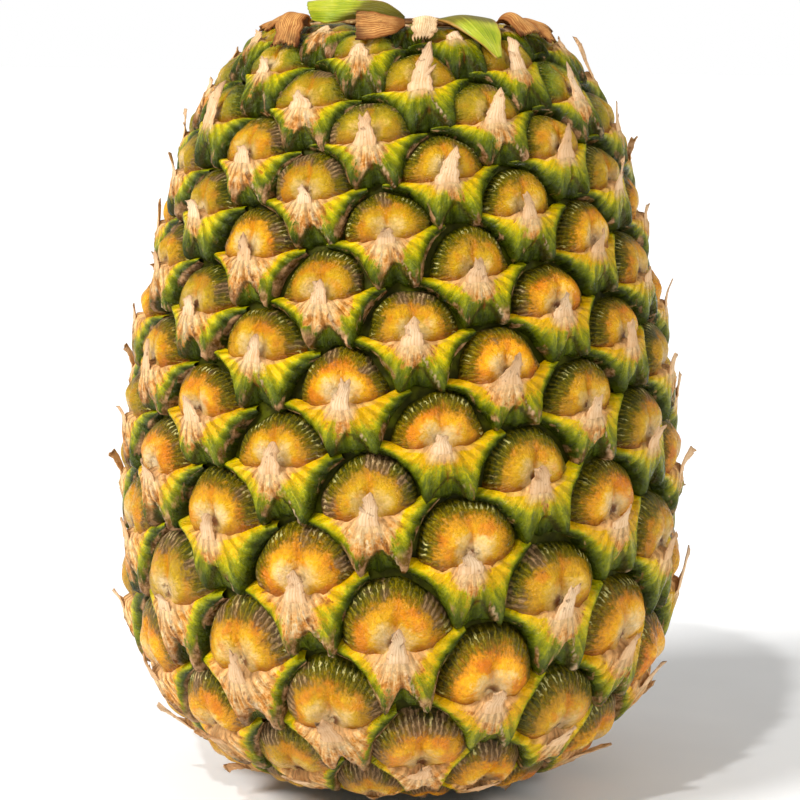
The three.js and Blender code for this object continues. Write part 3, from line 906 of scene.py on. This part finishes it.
@dataclass(frozen=True)
class LeafRing:
    """The leaf bases round the sides and the back, which the photograph doesn't show."""

    azimuths: tuple[float, ...] = (78, 100, 122, 146, 170, 193, 217, 240, 262, 284)
    short: tuple[int, ...] = (8, 9, 11, 12, 13, 15, 16, 17)
    stubs: tuple[int, ...] = (8, 9, 16, 17)
    half_width: float = 8.2
    torn_end: float = 0.7
    sway: float = 0.6
    stub_bend: tuple[tuple[float, float, float], ...] = (
        (24.6, 170.4, 0.8), (27.2, 170.6, 1.0), (29.8, 169.7, 0.9), (31.8, 168.4, 0.8),
    )
    bend: tuple[tuple[float, float, float], ...] = (
        (26.6, 170.5, 0.8), (30.2, 170.1, 1.0), (34.0, 168.3, 0.95), (37.4, 165.4, 0.8),
        (40.0, 162.5, 0.5), (41.8, 159.7, 0.14),
    )

    def leaves(self) -> list[Leaf]:
        """Lists the leaf bases.

        Returns:
            The short dry ones and the long green ones, in order of their numbers.
        """
        made = []
        for number, azimuth in enumerate(self.azimuths, start=len(FRONT_LEAVES) + 1):
            is_short = number in self.short
            bend = self.stub_bend if number in self.stubs else self.bend[:4] if is_short else self.bend
            rows = []
            for k, (radius, height, share) in enumerate(bend):
                half = self.half_width * share * (self.torn_end if is_short and k == 3 else 1)
                middle = azimuth + k * self.sway * math.sin(number * 2.4)
                rows.append((middle - half, radius, height, middle + half, radius, height, 0.2 + share * 0.5))
            slot = Slot.DRY if is_short else Slot.GREEN
            made.append(Leaf(f"leaf_{number:02d}", tuple(rows), slot, 0.9 if is_short else 0.2))
        return made


# Finishes

@dataclass(frozen=True)
class Value:
    """What a node puts out, to add, take away and multiply like a number."""

    recipe: "Recipe"
    socket: bpy.types.NodeSocket

    def __add__(self, other: "Value | float") -> "Value":
        """Adds another value."""
        return self.recipe.math("ADD", self, other)

    def __sub__(self, other: "Value | float") -> "Value":
        """Takes another value away."""
        return self.recipe.math("SUBTRACT", self, other)

    def __mul__(self, other: "Value | float") -> "Value":
        """Multiplies by another value."""
        return self.recipe.math("MULTIPLY", self, other)

    def __abs__(self) -> "Value":
        """Drops the sign."""
        return self.recipe.math("ABSOLUTE", self)

    def sine(self) -> "Value":
        """Takes the sine."""
        return self.recipe.math("SINE", self)

    def span(self, low: float, high: float) -> "Value":
        """Maps low smoothly to 0 and high to 1, where low may be the greater of the two."""
        links = {0: self, 1: low, 2: high, 3: 0.0, 4: 1.0}
        return self.recipe.node("MapRange", links, {"interpolation_type": "SMOOTHSTEP"})

    def shift(self, *parts: "tuple[Value, float]") -> "Value":
        """Moves the value up and down.

        Args:
            parts: Each noise that moves it, about 0.5, and its strength.

        Returns:
            The moved value.
        """
        moved = self
        for noise, strength in parts:
            moved = moved + (noise - 0.5) * strength
        return moved


@dataclass
class Recipe:
    """One material, the colour painted so far and a short way to add nodes."""

    name: str
    material: Material = field(init=False)
    shader: bpy.types.Node = field(init=False)
    where: Value = field(init=False)
    colour: Value = field(init=False)

    def __post_init__(self) -> None:
        """Makes the material with one principled shader and reads the piece's own coordinates."""
        self.material = bpy.data.materials.new(self.name)
        self.material.use_nodes = True
        self.shader = self.material.node_tree.nodes["Principled BSDF"]
        self.where = self.node("TexCoord", {}, {}, "Object")

    def connect(self, entry: bpy.types.NodeSocket, value: Value | float | tuple) -> None:
        """Links a value to an input, or sets the input to a plain number or colour.

        Args:
            entry: The input.
            value: What it gets.
        """
        if isinstance(value, Value):
            self.material.node_tree.links.new(value.socket, entry)
        else:
            entry.default_value = value

    def node(self, kind: str, links: dict, settings: dict | None = None, output: int | str = 0) -> Value:
        """Adds a node.

        Args:
            kind: Blender's name of the node type, without its Shader Node prefix.
            links: Input number or name to a value to link or a number to set.
            settings: Properties of the node.
            output: Number or name of the output that is wanted.

        Returns:
            That output of the new node.
        """
        made = self.material.node_tree.nodes.new("ShaderNode" + kind)
        for key, setting in (settings or {}).items():
            setattr(made, key, setting)
        for key, value in links.items():
            self.connect(made.inputs[key], value)
        return Value(self, made.outputs[output])

    def math(self, kind: str, *values: Value | float) -> Value:
        """Does a sum of that kind on the values."""
        return self.node("Math", dict(enumerate(values)), {"operation": kind})

    def most(self, one: Value, other: Value) -> Value:
        """Takes the greater of two values."""
        return self.math("MAXIMUM", one, other)

    def mix(self, share: Value, low: Value | str, high: Value | str) -> Value:
        """Mixes two colours, each a value or a hex string."""
        ends = [linear(c) if isinstance(c, str) else c for c in (low, high)]
        return self.node("Mix", {0: share, 6: ends[0], 7: ends[1]}, {"data_type": "RGBA"}, 2)

    def cover(self, share: Value, top: Value | str) -> None:
        """Paints a colour over what is there, as thick as the share says."""
        self.colour = self.mix(share, self.colour, top)

    def ramp(self, value: Value, stops: Stops) -> Value:
        """Turns a value to a colour.

        Args:
            value: The value.
            stops: Values and their hex colours, from low to high.

        Returns:
            The colour.
        """
        made = self.node("ValToRGB", {0: value})
        parts = made.socket.node.color_ramp.elements
        for place, _ in stops[2:]:
            parts.new(place)
        for part, (place, colour) in zip(parts, stops):
            part.position, part.color = place, linear(colour)
        return made

    def noise(self, where: Value, scale: float, detail: float = 3.0, rough: float = 0.55) -> Value:
        """Adds cloudy noise over a vector."""
        return self.node("TexNoise", {"Vector": where, "Scale": scale, "Detail": detail, "Roughness": rough})

    def cloud(self, size: float, detail: float = 3.0, rough: float = 0.55) -> Value:
        """Adds cloudy noise with patches of a size in millimetres."""
        return self.noise(self.where, 1 / (size * MM), detail, rough)

    def cells(self, size: float) -> Value:
        """Adds cells of a size in millimetres, and measures from their middles."""
        links = {"Vector": self.where, "Scale": 1 / (size * MM)}
        return self.node("TexVoronoi", links, {"feature": "F1"}, "Distance")

    def freckle(self) -> None:
        """Lightens and darkens what is painted, in grains about a millimetre apart."""
        value = self.cloud(1.1765, 4.0, 0.7) * 0.86 + 0.62
        self.colour = self.node("HueSaturation", {"Color": self.colour, "Value": value, "Saturation": 1.08})

    def split(self, vector: Value) -> tuple[Value, ...]:
        """Takes a vector apart to its three values."""
        parts = self.node("SeparateXYZ", {0: vector}).socket.node
        return tuple(Value(self, part) for part in parts.outputs)

    def read(self, label: str) -> tuple[Value, ...]:
        """Reads three values that the piece carries on its corners."""
        settings = {"attribute_name": label, "attribute_type": "GEOMETRY"}
        return self.split(self.node("Attribute", {}, settings, "Vector"))

    def vector(self, x: Value, y: Value, z: Value) -> Value:
        """Joins three values to one vector."""
        return self.node("CombineXYZ", {0: x, 1: y, 2: z})

    def bump(self, height: Value, depth: float) -> None:
        """Raises the surface by a height, in millimetres at full value."""
        links = {"Height": height, "Distance": depth * MM, "Strength": 1.0}
        self.connect(self.shader.inputs["Normal"], self.node("Bump", links))

    def wear(self, rough: Value | float, shine: float = 0.5, bend: float = WAX_IOR) -> Material:
        """Finishes the shader.

        Args:
            rough: Roughness.
            shine: Specular level.
            bend: Index of refraction.

        Returns:
            The material.
        """
        own = {"Base Color": self.colour, "Roughness": rough, "IOR": bend, "Specular IOR Level": shine}
        for key, value in own.items():
            self.connect(self.shader.inputs[key], value)
        return self.material


@dataclass(frozen=True)
class WaxyCap:
    """Sepal skin: thin wax over firm flesh, cream at the navel, orange, then an olive fluted rim that darkens
    to painted shade at its very edge.
    """

    ripe: Stops = (
        (0.0, "#FDE3B4"), (0.2, "#FBD28C"), (0.36, "#F6B950"), (0.52, "#E4951A"), (0.65, "#BE7A0A"),
        (0.76, "#8E6A0C"), (0.88, "#66590E"), (1.0, "#38340A"),
    )
    unripe: Stops = (
        (0.0, "#EED096"), (0.14, "#D2AC4C"), (0.28, "#A08C1A"), (0.42, "#7A7A0C"), (0.56, "#62700E"),
        (0.7, "#51630F"), (0.85, "#3E510C"), (1.0, "#263606"),
    )
    flutes: float = 50.0
    cloud_size: float = 7.143
    blush_size: float = 5.556
    blot_size: float = 2.3256
    grain_size: float = 0.8
    depth: float = 0.6

    def make(self) -> Material:
        """Paints by the share of the radius, broken up by streaks that run outwards.

        Returns:
            The material.
        """
        r = Recipe("waxy_sepal_skin")
        turn, share, above = r.read("place")
        cheek, seam, fold = r.read("relief")
        ripeness, dryness, mark = r.read("mood")
        angle = turn * math.tau
        round_x, round_y = r.math("COSINE", angle), angle.sine()
        seed = mark * 40.0
        streaks = r.noise(r.vector(round_x * 7.0, round_y * 7.0, seed + share * 5.0), 2.2, 4.0, 0.65)
        clouds = r.cloud(self.cloud_size, 4.0)
        blots = r.cloud(self.blot_size, 4.0, 0.6)
        grain = r.cloud(self.grain_size, 3.0, 0.7)
        # the swelling cheeks are painted paler, partly as cream flesh and partly as a painted highlight
        edge = share.shift((streaks, 0.18), (clouds, 0.5), (blots, 0.36), (grain, 0.42)) - cheek * 0.16
        # both ramps end darkest at the very edge: the rim's own olive, deepened by painted shade where the
        # cap turns down into the groove
        r.colour = r.mix(ripeness, r.ramp(edge, self.unripe), r.ramp(edge, self.ripe))
        # deeper orange blotches on the flesh half way out, and in the crease
        blush = r.cloud(self.blush_size).span(0.5, 0.64) * share.span(0.2, 0.4) * share.span(0.8, 0.62)
        r.cover(r.most(blush * ripeness, seam * 0.7) * 0.75, "#D26A02")
        # shaded fold over the bract's lip
        shade = above.span(0.26, 0.02) * share.span(0.2, 0.36)
        r.cover(r.most(shade, fold * 0.6) * 0.85, "#8A4602")
        # fine uneven flutes on the rim, with painted light on their crests and painted glints at their ends
        flutes = (angle * self.flutes + streaks * 12.0).sine()
        rim = edge.span(0.6, 0.78) * share.span(1.0, 0.92)
        r.cover(flutes.span(0.0, 1.0) * rim * 0.42, "#A8942E")
        arc_at = r.vector(round_x * 1.3, round_y * 1.3, seed)
        # painted highlight: pale glints on the flute crests near the rim's edge
        painted_glint = share.span(0.8, 0.85) * share.span(0.94, 0.89) * r.noise(arc_at, 1.6, 2.0).span(0.48, 0.6)
        r.cover(flutes.span(0.5, 0.95) * painted_glint * 0.75, "#F2E8A0")
        # dried papery patches on some rims
        dried = r.noise(arc_at, 0.9, 2.0).shift((dryness, 0.24), (blots, 0.4)).span(0.53, 0.66)
        dried = dried * edge.span(0.58, 0.74) * edge.span(1.04, 0.94)
        r.cover(dried * 0.66, r.mix((flutes + blots).span(-0.6, 1.6), "#62432E", "#BC9274"))
        # dark remains of the flower in the navel
        r.cover(share.span(0.2, 0.05) * blots.span(0.44, 0.56) * 0.9, "#6A2E0A")
        r.freckle()
        r.bump((flutes * rim * 0.55).shift((blots, 1.1), (grain, 1.0), (streaks, 1.0)), self.depth)
        return r.wear((dried + clouds) * 0.28 + 0.12, 0.36)


@dataclass(frozen=True)
class LeatheryBract:
    """Bract skin: yellow lip, olive-green skirt darkened by painted shade towards its lower edges, fibres
    that fan downwards and a dry tan middle.
    """

    fall: Stops = (
        (0.0, "#F2CC4A"), (0.14, "#E8C422"), (0.28, "#D2B808"), (0.42, "#B0A804"), (0.55, "#8E8E02"),
        (0.7, "#6B7202"), (0.85, "#4C5602"), (1.0, "#303802"),
    )
    paper: Stops = ((0.3, "#A86638"), (0.42, "#D8935A"), (0.58, "#EDC08A"), (0.78, "#FBE2BC"))
    cloud_size: float = 6.667
    blot_size: float = 1.923
    sore_size: float = 1.613
    grain_size: float = 0.8
    dot_size: float = 0.7692
    depth: float = 0.7

    def make(self) -> Material:
        """Paints from the lip down, with each wing turning green towards its end.

        Returns:
            The material.
        """
        r = Recipe("leathery_bract_skin")
        across, down, recess = r.read("place")
        fan, reach, ridge = r.read("relief")
        ripeness, dryness, mark = r.read("mood")
        seed = mark * 30.0
        off = across * 2.0 - 1.0
        wing = abs(off)
        fibres = r.noise(r.vector(fan * 9.0, reach * 1.6, seed), 1.7, 5.0, 0.68)
        clouds = r.cloud(self.cloud_size, 4.0)
        blots = r.cloud(self.blot_size, 4.0, 0.65)
        grain = r.cloud(self.grain_size, 3.0, 0.7)
        # the fall runs from the yellow lip to green below and at the wing ends; its darkest end, towards the
        # lower edges and in the sunk middle lobe, is partly painted shade
        fall = (down + 0.06 + wing.span(0.45, 0.95) * 0.48).shift(
            (fibres, 0.6), (clouds, 0.55), (blots, 0.3), (grain, 0.3), (ripeness, -0.24)) + recess * 0.05
        r.colour = r.ramp(fall, self.fall)
        # warm flush under the lip of ripe eyes
        r.cover(fall.span(0.5, 0.2) * (ripeness + clouds).span(0.9, 1.4) * 0.6, "#E09A22")
        # green stipple
        dots = r.cells(self.dot_size)
        stipple = dots.span(0.42, 0.15) * clouds.span(0.42, 0.58) * down.span(0.08, 0.3) * down.span(0.9, 0.7)
        r.cover(stipple * 0.5, "#6E7408")
        # pleats that fan out from under the tip, with dark green painted between them as shade in the furrows
        pleats = (fan * 24.0 + fibres * 7.0).sine()
        r.cover(pleats.span(-0.1, -1.0) * down.span(0.2, 0.55) * 0.55, "#465204")
        # dry tan middle under the tip, reaching along the lip
        middle = (wing * 2.0 + down * 0.95).shift((fibres, 0.9), (clouds, 1.3), (blots, 0.9), (grain, 0.5))
        dry = (middle - dryness * 1.05 + recess * 0.6).span(0.46, 0.16)
        paper = r.ramp(fibres.shift((blots, 0.8), (grain, 0.5)), self.paper)
        paper = r.mix(r.cloud(self.sore_size, 3.0, 0.6).span(0.56, 0.66) * 0.6, paper, "#8A4E30")
        near_tip = down.span(0.42, 0.12) * wing.span(0.34, 0.12)
        paper = r.mix(near_tip * 0.7, paper, "#F6D4A8")
        r.cover(r.most(dry, near_tip) * 0.9, paper)
        # thin tan lip along the top edge
        r.cover(down.span(0.05, 0.0) * wing.span(0.7, 0.3) * 0.7, "#E8B47C")
        # dried ridge that runs down to the right lobe
        scar = ridge.span(0.35, 0.8) * (clouds + dryness * 0.5).span(0.55, 0.75)
        r.cover(scar * 0.8, r.mix(blots.span(0.4, 0.6), "#7A4420", "#EDCBA4"))
        # browned ends of the lobes
        burnt = (r.noise(r.vector(off * 4.0, down, seed), 1.5) + dryness * 0.22).span(0.6, 0.7)
        burnt = burnt * down.span(0.55, 0.8) * recess.span(0.6, 0.1)
        r.cover(burnt * 0.75, r.mix(blots.span(0.35, 0.65), "#6A4020", "#CFA078"))
        # painted shade: a dark line round the sunk middle lobe
        r.cover(recess.span(0.05, 0.4) * recess.span(0.95, 0.6) * 0.7, "#3A2E06")
        # brown crease in the middle
        crease = abs(off - 0.05).span(0.06, 0.0) * down.span(0.3, 0.5) * down.span(0.72, 0.6)
        r.cover(crease * fibres.span(0.4, 0.6) * 0.7, "#84421A")
        r.freckle()
        r.bump((dots * 0.15).shift((fibres, 1.5), (blots, 0.8), (grain, 0.7), (pleats, 0.3)), self.depth)
        return r.wear((dry + clouds * 0.4) * 0.4 + 0.15, 0.26)


@dataclass(frozen=True)
class DryPaper:
    """Dead leaf tissue: pale, fibrous, brown where it is torn."""

    name: str
    light: str
    dark: str
    end: str
    root: str
    browned: float
    veins: float = 34.0
    depth: float = 0.12
    cloud_size: float = 2.632
    speck_size: float = 1.111

    def make(self) -> Material:
        """Paints long fibres, the root in its own colour, and darkens the end.

        Returns:
            The material.
        """
        r = Recipe(self.name)
        across, along, own = r.read("place")
        fibres = r.noise(r.vector(across * self.veins, along * 1.8, own * 30.0), 1.7, 4.0, 0.7)
        clouds = r.cloud(self.cloud_size)
        tone = fibres * 0.65 + clouds * 0.35
        r.colour = r.mix(tone.span(0.34, 0.56), self.dark, self.light)
        lines = (across * (self.veins * 2.6) + fibres * 5.0).sine()
        r.cover(lines.span(0.1, 1.0) * self.browned, self.dark)
        r.cover(r.read("mood")[2] * 0.5, self.dark)
        rims = abs(across * 2.0 - 1.0).shift((clouds, 0.5)).span(0.55, 1.05)
        r.cover(rims * self.browned, self.dark)
        start = (along + clouds * 0.2).span(0.5, 0.2)
        r.cover(start * 0.85, r.mix(tone.span(0.3, 0.6), self.dark, self.root))
        r.cover(along.span(0.62, 1.0) * clouds.span(0.36, 0.6) * self.browned, self.end)
        r.cover(r.cloud(self.speck_size, 2.0).span(0.62, 0.72) * 0.5, self.end)
        r.bump(fibres + clouds * 0.4, self.depth)
        return r.wear(0.6, 0.15)


@dataclass(frozen=True)
class GreenLeaf:
    """Living leaf base: smooth cuticle, parallel veins, brownish at the root, dry at the edge."""

    tones: Stops = ((0.3, "#5E7A0A"), (0.44, "#8E9E10"), (0.56, "#B4B624"), (0.74, "#DCD47A"))
    cloud_size: float = 7.692
    depth: float = 0.4

    def make(self) -> Material:
        """Paints parallel veins along the leaf.

        Returns:
            The material.
        """
        r = Recipe("fresh_leaf_base")
        across, along, own = r.read("place")
        veins = r.noise(r.vector(across * 16.0, along * 1.2, own * 20.0), 1.5)
        clouds = r.cloud(self.cloud_size, 4.0)
        r.colour = r.ramp(veins * 0.4 + clouds * 0.6, self.tones)
        root = along.shift((clouds, 0.3), (veins, 0.2)).span(0.6, 0.42)
        r.cover(root * 0.9, r.mix(veins, "#4A3A04", "#7C6E10"))
        edge = abs(across * 2.0 - 1.0) + clouds * 0.2
        r.cover(edge.span(0.98, 1.1) * 0.8, "#B07C3C")
        r.bump(veins, self.depth)
        return r.wear(0.36, 0.4)


@dataclass(frozen=True)
class DarkSkin:
    """Skin in the grooves: deep olive green, turning brown and fibrous under the leaves."""

    skin: Stops = ((0.3, "#1C1C02"), (0.52, "#343402"), (0.72, "#585C04"))
    scars: Stops = ((0.32, "#3A2208"), (0.5, "#6E5210"), (0.68, "#A98A3A"))
    scars_from: float = 165.5
    scars_full: float = 168.5
    cloud_size: float = 4.167
    depth: float = 0.8

    def make(self) -> Material:
        """Paints a dark mottled green, with old leaf scars near the crown.

        Returns:
            The material.
        """
        r = Recipe("groove_skin")
        clouds = r.cloud(self.cloud_size, 4.0)
        r.colour = r.ramp(clouds, self.skin)
        height = r.split(r.where)[2]
        r.cover(height.span(self.scars_from * MM, self.scars_full * MM), r.ramp(clouds, self.scars))
        r.bump(clouds, self.depth)
        return r.wear(0.5, 0.08)


@dataclass(frozen=True)
class TornCore:
    """Broken stem tissue: pale bundles of fibre in dry brown pith."""

    pith: Stops = ((0.32, "#2E1A0C"), (0.5, "#6A4422"), (0.7, "#B08B54"))
    bundle_size: float = 1.5385
    cloud_size: float = 4.545
    depth: float = 1.2

    def make(self) -> Material:
        """Paints the cut ends of the fibre bundles in brown pith.

        Returns:
            The material.
        """
        r = Recipe("torn_stem_core")
        bundles, clouds = r.cells(self.bundle_size), r.cloud(self.cloud_size, 4.0)
        r.colour = r.ramp(clouds, self.pith)
        r.cover(bundles.span(0.4, 0.15) * 0.6, "#C8AC74")
        r.bump(clouds + bundles * -0.5, self.depth)
        return r.wear(0.85, 0.2)


# The studio

@dataclass(frozen=True)
class Studio:
    """Pale floor, soft lights and the camera at the photograph's angle."""

    aim_height: float = 87.1
    distance: float = 562.5
    elevation: float = 8.9
    roll: float = 0.66
    lens: float = 112.5
    photo_side: int = 800
    centre_x: float = 401.8
    centre_y: float = 396.3
    sensor: float = 36.0
    floor_side: float = 12.0
    room_light: float = 0.42
    # name, degrees to the right of the camera's side, degrees up, strength and width in degrees
    suns: tuple[tuple[str, float, float, float, float], ...] = (
        ("key_light", -55, 40, 3.05, 20), ("right_light", 60, 34, 0.85, 20),
        ("glint_light", -30, 52, 1.0, 2.5),
    )

    def camera(self) -> None:
        """Puts the camera where the photograph was taken from."""
        data = bpy.data.cameras.new("photo_camera")
        data.lens, data.sensor_width = self.lens, self.sensor
        half = self.photo_side / 2
        data.shift_x = (half - self.centre_x) / self.photo_side
        data.shift_y = (self.centre_y - half) / self.photo_side
        camera = bpy.data.objects.new("photo_camera", data)
        bpy.context.scene.collection.objects.link(camera)
        tilt = math.radians(self.elevation)
        camera.location = (0, -self.distance * math.cos(tilt) * MM,
                           (self.aim_height + self.distance * math.sin(tilt)) * MM)
        camera.rotation_euler = (math.radians(90) - tilt, 0, 0)
        camera.rotation_euler.rotate_axis("Z", math.radians(self.roll))
        bpy.context.scene.camera = camera

    def floor(self) -> None:
        """Lays a pale matt floor."""
        clear_selection()
        bpy.ops.mesh.primitive_plane_add(size=self.floor_side)
        floor = bpy.context.active_object
        floor.name = "studio_floor"
        r = Recipe("pale_paper")
        r.colour = r.ramp(r.cloud(33.3, 2.0), ((0.3, "#F4F4F3"), (0.7, "#F8F8F7")))
        floor.data.materials.append(r.wear(0.9, bend=PAPER_IOR))

    def lights(self) -> None:
        """Adds the lights, all from far away."""
        for name, azimuth, height, strength, width in self.suns:
            data = bpy.data.lights.new(name, "SUN")
            data.energy, data.angle = strength, math.radians(width)
            lamp = bpy.data.objects.new(name, data)
            bpy.context.scene.collection.objects.link(lamp)
            lamp.rotation_euler = (math.radians(90 - height), 0, math.radians(azimuth))

    def room(self) -> None:
        """Fills the room with white light, and shows it white to the camera."""
        world = bpy.data.worlds.new("pale_room")
        world.use_nodes = True
        tree = world.node_tree
        sky = tree.nodes["Background"]
        sky.inputs["Color"].default_value = linear("#FFFFFF")
        seen = tree.nodes.new("ShaderNodeLightPath")
        bright = tree.nodes.new("ShaderNodeMapRange")
        tree.links.new(seen.outputs["Is Camera Ray"], bright.inputs[0])
        bright.inputs[3].default_value = self.room_light
        bright.inputs[4].default_value = 1.0
        tree.links.new(bright.outputs[0], sky.inputs["Strength"])
        bpy.context.scene.world = world
        bpy.context.scene.view_settings.view_transform = "Standard"

    def build(self) -> None:
        """Sets up the whole studio."""
        for step in (self.camera, self.floor, self.lights, self.room):
            step()


def main() -> None:
    """Builds the studio and the pineapple, piece by piece."""
    logging.basicConfig(level=logging.INFO, format="%(message)s")
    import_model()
    Studio().build()
    form = FruitForm()
    moods = EyeMoods(form)
    torn = TornCore().make()
    tip_paper = DryPaper("bract_tip_paper", "#FCDDB4", "#D09A62", "#7E481A", "#EBBE8A", 0.45, veins=16.0,
                         depth=0.3).make()
    leaf_paper = DryPaper("dry_leaf_paper", "#D9A05A", "#7E4216", "#3A1604", "#6A3E0C", 0.8).make()
    bleached = DryPaper("bleached_leaf_paper", "#F4D8A8", "#B98450", "#6A3A14", "#A8783A", 0.5, 30.0).make()
    fresh = GreenLeaf().make()
    Groove(form).build(DarkSkin().make(), torn)
    Caps(moods).build(WaxyCap().make())
    Bracts(moods).build(LeatheryBract().make())
    Tips(moods).build(tip_paper)
    Tips(moods, "fruit_tip_shreds", half_width=1.0, half_thick=0.17, reach=0.48, spread=0.5, segments=8,
         rings=12).build(tip_paper)
    CrownStump(form).build(torn)
    for leaf in (*FRONT_LEAVES, *LeafRing().leaves()):
        paper = bleached if leaf.bleached else leaf_paper
        leaf.build(fresh if leaf.slot is Slot.GREEN else paper)


if __name__ == "__main__":
    main()
